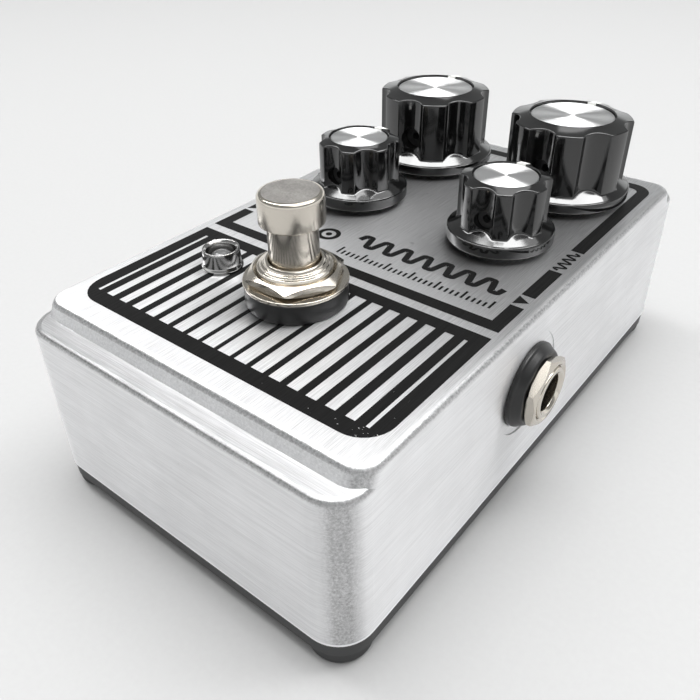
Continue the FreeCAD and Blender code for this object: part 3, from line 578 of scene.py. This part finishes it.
def printed_panel():
    """The front panel of stripes: a black field whose openings show the brushed metal."""
    front = -47.0 * MM
    rear = -18.35 * MM
    pitch = 3.265 * MM
    loops = [box_loop(-PRINT_HALF, front, PRINT_HALF, rear, front=5.0 * MM)]
    stripe_front = -44.2 * MM
    stripe_rear = -20.8 * MM
    stripes = [(27.25 * MM, 0.6 * MM)]
    for index in range(8):
        stripes.append(((index + 0.5) * pitch, (2.5 - 0.13 * index) * MM))
    for x, width in stripes:
        for side in (-1, 1):
            centre = x * side
            loops.append(box_loop(centre - width / 2, stripe_front, centre + width / 2, stripe_rear))
    flat_print("print_front_panel", loops)


def printed_frame():
    """The outline round the controls, open at each side where the small marks stand."""
    half = PRINT_HALF
    band = PRINT_BAND
    front = -16.39 * MM
    rear = 47.65 * MM
    first_end = -8.4 * MM
    second_start = -4.7 * MM
    second_end = 5.0 * MM
    third_start = 13.4 * MM
    corner = 4.0 * MM
    inner = half - band
    base = [(-half, first_end), (-half, front), (half, front), (half, first_end), (inner, first_end),
            (inner, front + band), (-inner, front + band), (-inner, first_end)]
    crown = [(half, third_start)]
    crown += corner_arc(half - corner, rear - corner, corner, 0)
    crown += corner_arc(corner - half, rear - corner, corner, 90)
    crown += [(-half, third_start), (-inner, third_start)]
    crown += list(reversed(corner_arc(corner - half, rear - corner, corner - band, 90)))
    crown += list(reversed(corner_arc(half - corner, rear - corner, corner - band, 0)))
    crown += [(inner, third_start)]
    loops = [base, crown]
    for side in (-1, 1):
        edges = sorted((inner * side, half * side))
        loops.append(box_loop(edges[0], second_start, edges[1], second_end))
    flat_print("print_frame", loops)


def wave_band(centre, length, height, cycles, width, clip, along_y=False, steps=60):
    """The outline of a stroked wave, flattened at clip of its height, as one closed loop."""
    line = []
    for step in range(steps + 1):
        t = step / steps
        swing = math.sin(TURN * cycles * t) / clip
        line.append(((t - 0.5) * length, max(-1.0, min(1.0, swing)) * height / 2))
    points = np.array(line)
    slope = np.gradient(points, axis=0)
    normal = np.stack((-slope[:, 1], slope[:, 0]), axis=1)
    normal /= np.linalg.norm(normal, axis=1)[:, None]
    loop = np.concatenate((points + normal * width / 2, (points - normal * width / 2)[::-1]))
    if along_y:
        loop = loop[:, ::-1] * (-1, 1)
    return [(centre[0] + x, centre[1] + y) for x, y in loop]


def arrow_loop(tip, length, width):
    """A solid arrow head whose tip points along +X."""
    return [tip, (tip[0] - length, tip[1] + width / 2), (tip[0] - length, tip[1] - width / 2)]


def printed_marks():
    """Plain symbols: an arrow at each socket, a wave at each tone control, and a wave, a scale and a ring."""
    loops = []
    inner = PRINT_HALF - PRINT_BAND
    middle = 28.8 * MM
    arrow = 2.2 * MM
    for side in (-1, 1):
        tip_x = inner + arrow if side > 0 else -inner
        loops.append(arrow_loop((tip_x, -6.55 * MM), arrow, 2.6 * MM))
    for x, cycles in ((middle, 4), (-middle, 1)):
        loops.append(wave_band((x, 9.2 * MM), 7.0 * MM, 1.8 * MM, cycles, 0.45 * MM, 1.0, along_y=True))
    loops.append(wave_band((10.4 * MM, -5.2 * MM), 29.0 * MM, 3.2 * MM, 7, 1.15 * MM, 0.6, steps=280))
    ticks = 31
    tick_half = 0.2 * MM
    tick_foot = -11.4 * MM
    for index in range(ticks):
        x = (index - (ticks - 1) / 2) * MM + 10.5 * MM
        tall = 2.3 * MM if index % 5 == 0 else 1.3 * MM
        loops.append(box_loop(x - tick_half, tick_foot, x + tick_half, tick_foot + tall))
    for radius in (2.2 * MM, 1.35 * MM, 0.6 * MM):
        loops.append([(x - 10.0 * MM, y - 6.9 * MM) for x, y in circle_loop(radius)])
    flat_print("print_marks", loops)


def soft_max(first, second, blend):
    """The larger of two lengths, with a rounded change-over."""
    part = max(blend - abs(first - second), 0) / blend
    return max(first, second) + part * part * blend / 4


def flute_corner(shape):
    """How far a flute's cutter stands off, and half its arc seen from its centre and from the axis."""
    reach = shape.lobe - shape.scoop + shape.cutter
    cosine = (reach ** 2 + shape.cutter ** 2 - shape.lobe ** 2) / (2 * reach * shape.cutter)
    swing = math.acos(cosine)
    return reach, swing, math.atan2(shape.cutter * math.sin(swing), reach - shape.cutter * cosine)


def fluted_outline(shape):
    """(angle, radius) round a fluted knob, with a flute at -Y and its corners slightly eased."""
    reach, swing, half = flute_corner(shape)
    ease = 0.14 * MM
    pitch = TURN / FLUTES
    scallop = swing - ease / shape.cutter
    lobe_start = half + ease / shape.lobe
    arc_steps = 6
    lobe_steps = 10
    flute = []
    for step in range(-arc_steps, arc_steps + 1):
        t = scallop * step / arc_steps
        flute.append((reach - shape.cutter * math.cos(t), shape.cutter * math.sin(t)))
    corner = np.array((shape.lobe * math.cos(half), shape.lobe * math.sin(half)))
    before = np.array(flute[-1])
    after = np.array((shape.lobe * math.cos(lobe_start), shape.lobe * math.sin(lobe_start)))
    turn_in = []
    for t in (0.25, 0.5, 0.75):
        turn_in.append(before * (1 - t) ** 2 + corner * 2 * t * (1 - t) + after * t ** 2)
    inward = [(math.atan2(y, x), math.hypot(x, y)) for x, y in flute]
    eased = [(math.atan2(y, x), math.hypot(x, y)) for x, y in turn_in]
    lobe_span = pitch - 2 * lobe_start
    lobe = [(lobe_start + lobe_span * step / lobe_steps, shape.lobe) for step in range(lobe_steps + 1)]
    turn_out = [(pitch - angle, radius) for angle, radius in reversed(eased)]
    period = inward + eased + lobe + turn_out
    outline = []
    for index in range(FLUTES):
        start = index * pitch - TURN / 4
        outline += [(start + angle, radius) for angle, radius in period]
    return outline


def knob_rings(shape, disc, skirt, height):
    """(kind, radius or inset, height) rings from the shaft's bore, under the skirt, to the disc's seat."""
    bore = 3.1 * MM
    recess = 6.3 * MM
    recess_top = 2.85 * MM
    edge = shape.edge
    cone = shape.cone
    soft = 0.3 * MM
    edge_steps = 4
    cone_steps = 16
    rim_steps = 6
    rings = [("plain", bore, height * 0.8), ("plain", bore, recess_top), ("plain", recess, recess_top),
             ("plain", recess, 0.0), ("plain", skirt - soft, 0.0)]
    foot = skirt - soft
    for step in range(1, edge_steps + 1):
        a = TURN / 4 * step / edge_steps
        rings.append(("plain", foot + soft * math.sin(a), soft - soft * math.cos(a)))
    for step in range(edge_steps + 1):
        a = TURN / 4 * step / edge_steps
        rings.append(("plain", foot + soft * math.cos(a), edge - soft + soft * math.sin(a)))
    root = shape.lobe - shape.scoop - soft
    for step in range(1, cone_steps + 1):
        t = step / cone_steps
        rings.append(("cone", foot + (root - foot) * t, edge + (cone - edge) * t))
    rings.append(("wall", 0, cone + 0.6 * MM))
    for step in range(rim_steps + 1):
        a = TURN / 4 * step / rim_steps
        rings.append(("rim", shape.bevel * (1 - math.cos(a)), shape.bevel * (1 - math.sin(a))))
    lip = disc + 0.28 * MM
    rings += [("plain", lip + 0.12 * MM, height - 0.03 * MM), ("plain", lip + 0.04 * MM, height),
              ("plain", lip, height - 0.05 * MM), ("plain", lip - 0.02 * MM, height - 0.6 * MM)]
    return rings


def rim_height(disc, height, radius):
    """Level of the rim's shallow cone at a radius."""
    return height - (radius - disc) * RIM_SLOPE


def knob_skin(rings, outline, disc, height):
    """Vertices and faces of a closed skin of rings whose walls follow the fluted outline."""
    verts = []
    for kind, size, level in rings:
        for angle, wall in outline:
            if kind == "plain":
                radius = size
            elif kind == "cone":
                radius = soft_max(size, wall, 0.25 * MM)
            else:
                radius = wall - size
            if kind == "rim":
                z = rim_height(disc, height, wall) - level
            else:
                z = level
            verts.append(Vector((radius * math.cos(angle), radius * math.sin(angle), z)))
    around = len(outline)
    faces = []
    for level in range(len(rings)):
        here = level * around
        above = (level + 1) % len(rings) * around
        for step in range(around):
            after = (step + 1) % around
            faces.append((here + step, here + after, above + after, above + step))
    return verts, faces


def knob(label, shape):
    """A glossy fluted knob: one skin of rings whose radius follows the flutes."""
    node = Span(label + "_knob")
    face = Span(label + "_knob_disc")
    screw = Span(label + "_set_screw")
    middle = face.mid
    disc = face.size.x / 2
    height = node.size.z
    rings = knob_rings(shape, disc, node.size.x / 2, height)
    verts, faces = knob_skin(rings, fluted_outline(shape), disc, height)
    away = screw.mid - middle
    turn = Matrix.Rotation(math.atan2(away.x, -away.y), 4, "Z")
    move = Matrix.Translation((middle.x, middle.y, node.low.z)) @ turn
    verts = [move @ v for v in verts]
    body = label + "_control"
    piece = add_mesh(label + "_fluted_knob", verts, faces, MATERIALS["knob_gloss"], body, 40)
    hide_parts(label + "_knob")
    screw_hole(piece, screw, middle)
    pointer(label, shape, move, disc, height, body)


def screw_hole(piece, screw, middle):
    """Bore the set screw's hole through the flute at the front."""
    away = (screw.mid - Vector((middle.x, middle.y, screw.mid.z))).normalized()
    radius = screw.size.z / 2 + 0.05 * MM
    length = 14 * MM
    bm = bmesh.new()
    bmesh.ops.create_cone(bm, cap_ends=True, segments=48, radius1=radius, radius2=radius, depth=length)
    aim = away.to_track_quat("Z", "Y").to_matrix().to_4x4()
    bm.transform(Matrix.Translation(screw.mid + away * length / 2) @ aim)
    cutter_mesh = bpy.data.meshes.new("screw_hole")
    bm.to_mesh(cutter_mesh)
    bm.free()
    cutter = bpy.data.objects.new("screw_hole", cutter_mesh)
    bpy.context.scene.collection.objects.link(cutter)
    hole = piece.modifiers.new("hole", "BOOLEAN")
    hole.object = cutter
    hole.solver = "EXACT"
    apply_modifiers(piece)
    bpy.data.objects.remove(cutter)


def apply_modifiers(piece):
    """Bake a piece's modifiers into its mesh."""
    settled = piece.evaluated_get(bpy.context.evaluated_depsgraph_get())
    mesh = bpy.data.meshes.new_from_object(settled)
    piece.modifiers.clear()
    piece.data = mesh


def pointer(label, shape, move, disc, height, body):
    """The painted line across the rim at the rear of the knob, from the disc down over the edge."""
    half = POINTER_WIDTH / 2
    proud = 0.03 * MM
    deep = 0.3 * MM
    bevel = shape.bevel
    seat = height - shape.lip - deep
    crest = disc + 0.5 * MM
    rows = [(disc + 0.03 * MM, seat, height + proud),
            (crest, seat, rim_height(disc, height, crest) + proud)]
    for inset, drop in ((bevel * 1.2, 0), (bevel * 0.45, bevel * 0.2), (bevel * 0.12, bevel * 0.5)):
        radius = shape.lobe - inset
        level = rim_height(disc, height, radius) + proud - drop
        rows.append((radius, level - deep, level))
    verts = []
    faces = []
    for y, low, high in rows:
        for x in (-half, half):
            verts += [move @ Vector((x, y, low)), move @ Vector((x, y, high))]
    for step in range(len(rows) - 1):
        a = step * 4
        b = a + 4
        faces += [(a + 1, a + 3, b + 3, b + 1), (a, b, b + 2, a + 2),
                  (a, a + 1, b + 1, b), (a + 2, b + 2, b + 3, a + 3)]
    last = (len(rows) - 1) * 4
    faces += [(0, 2, 3, 1), (last, last + 1, last + 3, last + 2)]
    add_mesh(label + "_pointer", verts, faces, PAINT, body)


def hex_nut(name, flats, hole, low, high, move, cone=0.55):
    """A nickel nut with its corners turned down at both ends."""
    around = 192
    round_face = flats * 0.47
    soft = 0.1 * MM

    def shape(angle, radius, height):
        if radius > round_face:
            radius = flats / 2 / math.cos(angle % (TURN / 6) - TURN / 12) - 0.08 * MM
            drop = max(0.0, radius - round_face) * cone
            height += drop if height < (low + high) / 2 else -drop
        return radius, height

    rings = [(hole, low + soft * 3), (hole + soft * 3, low), (round_face, low), (flats / 2, low),
             (flats / 2, high), (round_face, high), (hole + soft * 4, high), (hole, high - soft * 4)]
    verts, faces = ring_stack(rings, around, shape, close=True)
    return add_mesh(name, [move @ v for v in verts], faces, MATERIALS["nickel"], "pedal", 25)


def footswitch():
    """The stack on the panel, then the plunger that travels through it."""
    washer = Span("footswitch_washer")
    insulator = Span("footswitch_insulator")
    nuts = Span("footswitch_nuts")
    bushing = Span("footswitch_bushing")
    plunger = Span("footswitch_plunger")
    origin = Vector((plunger.mid.x, plunger.mid.y, 0))
    hole = bushing.size.x / 2 + 0.05 * MM
    edge = 0.35 * MM
    black = lathe("footswitch_collar_ring", [
        (hole, insulator.low.z), (insulator.size.x / 2, insulator.low.z),
        (insulator.size.x / 2, insulator.high.z), (hole, insulator.high.z),
    ], origin, MATERIALS["black_plastic"], "pedal", edge)
    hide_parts("footswitch_insulator")
    bright = lathe("footswitch_thin_washer", [
        (hole, washer.low.z), (washer.size.x / 2, washer.low.z),
        (washer.size.x / 2, washer.high.z), (hole, washer.high.z),
    ], origin, MATERIALS["nickel"], "pedal", 0.15 * MM)
    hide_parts("footswitch_washer")
    move = Matrix.Translation(origin)
    thick = nuts.high.z - washer.high.z
    upper = hex_nut("footswitch_upper_nut", SWITCH_FLATS, hole, washer.high.z, nuts.high.z, move)
    lower = hex_nut("footswitch_lower_nut", SWITCH_FLATS, hole, nuts.low.z, nuts.low.z + thick, move)
    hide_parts("footswitch_nuts")
    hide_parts("footswitch_nuts")
    threaded_bushing(bushing, nuts.high.z, origin)
    cap_and_neck(plunger, origin)


def thread_ridges(outer, depth, pitch, low, high):
    """Outline points of a thread from low to high, one ridge to a pitch."""
    points = []
    level = low + pitch
    while level < high:
        points += [(outer - depth, level - pitch / 2), (outer, level - pitch * 0.15), (outer, level)]
        level += pitch
    return points


def threaded_bushing(span, nut_top, origin):
    """Thread to just above the nut, then the stepped rings round the plunger."""
    outer = span.size.x / 2
    bore = 3.95 * MM
    pitch = 0.55 * MM
    top = span.high.z
    outline = [(bore, span.low.z), (outer - 0.3 * MM, span.low.z)]
    outline += thread_ridges(outer, 0.28 * MM, pitch, span.low.z, nut_top - pitch * 0.2)
    outline += [
        (outer - 0.05 * MM, nut_top + 0.1 * MM),
        (outer - 0.15 * MM, nut_top + 0.42 * MM),
        (outer - 0.62 * MM, nut_top + 0.55 * MM),
        (outer - 0.72 * MM, nut_top + 0.80 * MM),
        (outer - 1.15 * MM, nut_top + 0.95 * MM),
        (outer - 1.25 * MM, top - 0.25 * MM),
        (outer - 1.50 * MM, top),
        (bore + 0.25 * MM, top),
        (bore, top - 0.5 * MM),
    ]
    piece = lathe("footswitch_threaded_bushing", outline, origin, MATERIALS["nickel"], "pedal",
                  0.08 * MM)
    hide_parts("footswitch_bushing")


def cap_and_neck(span, origin):
    """The pressed cap: satin face, bright rolled edge, plain neck and stem."""
    top = span.high.z
    cap = span.size.x / 2
    neck = 3.9 * MM
    cap_bottom = PANEL + 13.2 * MM
    neck_bottom = top - 22.4 * MM
    stem = 1.2 * MM
    edge = 0.75 * MM
    outline = [
        (AXIS, span.low.z), (stem, span.low.z), (stem, neck_bottom),
        (neck, neck_bottom), (neck, cap_bottom),
        (cap - 0.15 * MM, cap_bottom), (cap, cap_bottom + 0.15 * MM),
        (cap, top - edge), (cap - 0.1 * MM, top - 0.42 * MM), (cap - 0.35 * MM, top - 0.16 * MM),
        (cap - edge, top - 0.05 * MM), (cap - edge - 0.12 * MM, top - 0.1 * MM),
        (cap * 0.5, top - 0.02 * MM), (AXIS, top),
    ]
    piece = lathe("footswitch_cap", outline, origin, MATERIALS["nickel"], "footswitch_button",
                  close=False)
    piece.data.materials.append(SATIN)
    face_radius = cap - edge - 0.06 * MM
    for polygon in piece.data.polygons:
        away = (Vector(polygon.center) - origin).to_2d().length
        if polygon.center.z > top - 0.2 * MM and away < face_radius:
            polygon.material_index = 1
    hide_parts("footswitch_plunger")


def coil_spring():
    """The footswitch's return spring, a fixed coil on the pedal body."""
    node = Span("footswitch_spring")
    radius = 2.6 * MM
    wire = node.size.x / 2 - radius
    turns = 8
    steps = turns * 28
    sides = 10
    low = node.low.z + wire
    rise = node.size.z - 2 * wire
    verts = []
    for step in range(steps + 1):
        angle = TURN * turns * step / steps
        away = Vector((math.cos(angle), math.sin(angle), 0))
        centre = Vector((node.mid.x, node.mid.y, low + rise * step / steps)) + away * radius
        for side in range(sides):
            t = TURN * side / sides
            verts.append(centre + away * (wire * math.cos(t)) + Vector((0, 0, wire * math.sin(t))))
    faces = [tuple(range(sides)), tuple(reversed(range(steps * sides, (steps + 1) * sides)))]
    for step in range(steps):
        for side in range(sides):
            after = (side + 1) % sides
            here = step * sides
            faces.append((here + side, here + sides + side, here + sides + after, here + after))
    piece = add_mesh("footswitch_coil_spring", verts, faces, MATERIALS["screw_steel"], "pedal",
                     60)
    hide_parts("footswitch_spring")
    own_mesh(piece)


def status_light():
    """A chromed tube with a rolled lip, and the resin lens down inside it."""
    bezel = Span("led_bezel")
    lens = Span("led_lens")
    origin = Vector((bezel.mid.x, bezel.mid.y, 0))
    base = bezel.size.x / 2
    rim = 3.18 * MM
    stem = 2.85 * MM
    bore = lens.size.x / 2 + 0.05 * MM
    top = bezel.high.z
    tube = lathe("led_bezel_tube", [
        (bore, bezel.low.z), (stem, bezel.low.z), (stem, PANEL), (base, PANEL), (base, PANEL + 0.45 * MM),
        (rim + 0.12 * MM, PANEL + 0.9 * MM), (rim - 0.02 * MM, top - 0.5 * MM), (rim - 0.1 * MM, top),
        (rim - 0.32 * MM, top), (bore + 0.06 * MM, top - 0.4 * MM), (bore, top - 1.0 * MM),
        (bore, top - 2.2 * MM),
    ], origin, MATERIALS["bezel_chrome"], "pedal")
    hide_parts("led_bezel")
    radius = lens.size.x / 2
    dome_top = lens.high.z
    outline = [(AXIS, lens.low.z), (radius, lens.low.z), (radius, dome_top - radius)]
    for step in range(1, 10):
        a = math.radians(9.5 * step)
        outline.append((radius * math.cos(a), dome_top - radius + radius * math.sin(a)))
    outline.append((AXIS, dome_top))
    dome = lathe("led_dome", outline, origin, MATERIALS["lens_glass"], "pedal", 0.1 * MM,
                 close=False)
    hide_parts("led_lens")


def jack(label, side):
    """Cone washer, nut and bored bushing on one wall."""
    washer = Span(label + "_jack_washer")
    nut = Span(label + "_jack_nut")
    bushing = Span(label + "_jack_bushing")
    origin = Vector((0, bushing.mid.y, bushing.mid.z))
    turn = outward(side)

    def away(span):
        return sorted((abs(span.low.x), abs(span.high.x)))

    seat, crown = away(washer)
    inner, face = away(bushing)
    nut_low, nut_high = away(nut)
    wide = washer.size.y / 2
    thread = bushing.size.y / 2
    bore = 3.25 * MM
    hole = thread + 0.05 * MM
    cone = lathe(label + "_jack_cone_washer", [
        (hole, seat), (wide, seat), (wide, seat + 0.75 * MM), (wide - 0.25 * MM, seat + 1.0 * MM),
        (wide - 0.85 * MM, crown - 0.25 * MM), (wide - 1.1 * MM, crown), (hole, crown),
    ], origin, MATERIALS["black_plastic"], "pedal", 0.2 * MM, turn=turn)
    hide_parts(label + "_jack_washer")
    spin = turn @ Matrix.Rotation(math.radians(JACK_NUT_TURN), 4, "Z")
    move = Matrix.Translation(origin) @ spin
    ring = hex_nut(label + "_jack_hex_nut", JACK_FLATS, hole, nut_low, nut_high, move, cone=0.5)
    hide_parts(label + "_jack_nut")
    outline = [(bore, inner), (thread - 0.25 * MM, inner)]
    outline += thread_ridges(thread, 0.25 * MM, 0.6 * MM, inner, face - 0.7 * MM)
    outline += [(thread - 0.15 * MM, face - 0.2 * MM), (thread - 0.4 * MM, face), (bore + 0.5 * MM, face),
                (bore, face - 0.5 * MM)]
    tube = lathe(label + "_jack_threaded_bushing", outline, origin, MATERIALS["nickel"], "pedal",
                 0.08 * MM, turn=turn)
    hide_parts(label + "_jack_bushing")


def finish_cad_nodes():
    """Give every CAD node that still shows the material of its slot, but the set screws a dark steel."""
    slots = {entry["node"]: entry["material_slot"] for entry in frame["record"]["subparts"]}
    for name, item in frame["nodes"].items():
        dark = name.endswith("_set_screw")
        item.data.materials.clear()
        item.data.materials.append(DARK_STEEL if dark else MATERIALS[slots[name]])


# ---------------------------------------------------------------- stage, light and camera

def floor_material():
    """Pale paper with a faint fibre."""
    g = Paint("floor_paper")
    fibre = g.noise(g.place, 900, 4, 0.6)
    level = g.ramp(fibre, 0.3, 0.7, 0.355, 0.365)
    color = g.node("CombineColor", Red=level, Green=level, Blue=level).outputs[0]
    return g.finish(Base_Color=color, Roughness=0.7)


def stage():
    """A wide pale floor at the feet."""
    half = 3.0
    mesh = bpy.data.meshes.new("floor")
    corners = [(-half, -half, 0), (half, -half, 0), (half, half, 0), (-half, half, 0)]
    mesh.from_pydata(corners, [], [(0, 1, 2, 3)])
    mesh.materials.append(floor_material())
    floor = bpy.data.objects.new("floor", mesh)
    bpy.context.scene.collection.objects.link(floor)


def overhead_light(name, radiance, place, turn, length, width):
    """A soft rectangular light facing straight down."""
    light = bpy.data.lights.new(name, "AREA")
    light.shape = "RECTANGLE"
    light.size = length
    light.size_y = width
    light.energy = radiance * math.pi * length * width
    lamp = bpy.data.objects.new(name, light)
    lamp.location = place
    lamp.rotation_euler = (0, 0, math.radians(turn))
    bpy.context.scene.collection.objects.link(lamp)
    return lamp


def lights():
    """A broad bank, two brighter strips that draw the crescents on the knobs, and a fill for the floor."""
    overhead_light("bank", BANK_RADIANCE, (0.17, 0.20, 0.92), 0, 1.05, 1.20)
    overhead_light("left_strip", STRIP_RADIANCE, (-0.55, -0.06, 0.9), 0, 1.1, 0.2)
    overhead_light("right_strip", STRIP_RADIANCE, (0.27, 0.28, 0.9), 46, 0.8, 0.2)
    fill = overhead_light("floor_fill", FILL_RADIANCE, (0, 0, 3.0), 0, 8.0, 8.0)
    fill.visible_glossy = False


def world_light():
    """Studio surroundings: a bright backdrop low down, and a dark room above it."""
    world = bpy.data.worlds.new("studio")
    bpy.context.scene.world = world
    world.use_nodes = True
    g = Graph(world.node_tree, "Generated")
    height = g.node("SeparateXYZ", Vector=g.place).outputs[2]
    backdrop = g.ramp(height, BACKDROP_TOP, BACKDROP_FULL, 0.0, HORIZON)
    level = g.math("ADD", backdrop, AMBIENT)
    color = g.node("CombineColor", Red=g.math("MULTIPLY", level, 0.985), Green=level, Blue=level).outputs[0]
    g.feed(world.node_tree.nodes["Background"], "Color", color)


def color_response():
    """Plain display response, as a product photograph has."""
    bpy.context.scene.view_settings.view_transform = "Standard"


def camera():
    """The photograph's view: from the front right, above, with a moderate lens."""
    data = bpy.data.cameras.new("camera")
    data.sensor_width = 36.0
    data.lens = CAMERA_LENS
    data.clip_start = 0.005
    data.clip_end = 20.0
    ahead = Vector((math.sin(CAMERA_YAW), math.cos(CAMERA_YAW), 0))
    forward = ahead * math.cos(CAMERA_PITCH) - Vector((0, 0, math.sin(CAMERA_PITCH)))
    level = Vector((math.cos(CAMERA_YAW), -math.sin(CAMERA_YAW), 0))
    above = level.cross(forward)
    right = level * math.cos(CAMERA_ROLL) + above * math.sin(CAMERA_ROLL)
    up = above * math.cos(CAMERA_ROLL) - level * math.sin(CAMERA_ROLL)
    turn = Matrix((right, up, -forward)).transposed()
    view = bpy.data.objects.new("camera", data)
    view.matrix_world = Matrix.Translation(CAMERA_PLACE + Vector((0, 0, RIM))) @ turn.to_4x4()
    bpy.context.scene.collection.objects.link(view)
    bpy.context.scene.camera = view


finish_cad_nodes()
printed_panel()
printed_frame()
printed_marks()
for control_name, knob_shape in CONTROLS.items():
    knob(control_name, knob_shape)
footswitch()
coil_spring()
status_light()
for jack_name, jack_side in JACKS.items():
    jack(jack_name, jack_side)
stage()
world_light()
lights()
color_response()
camera()
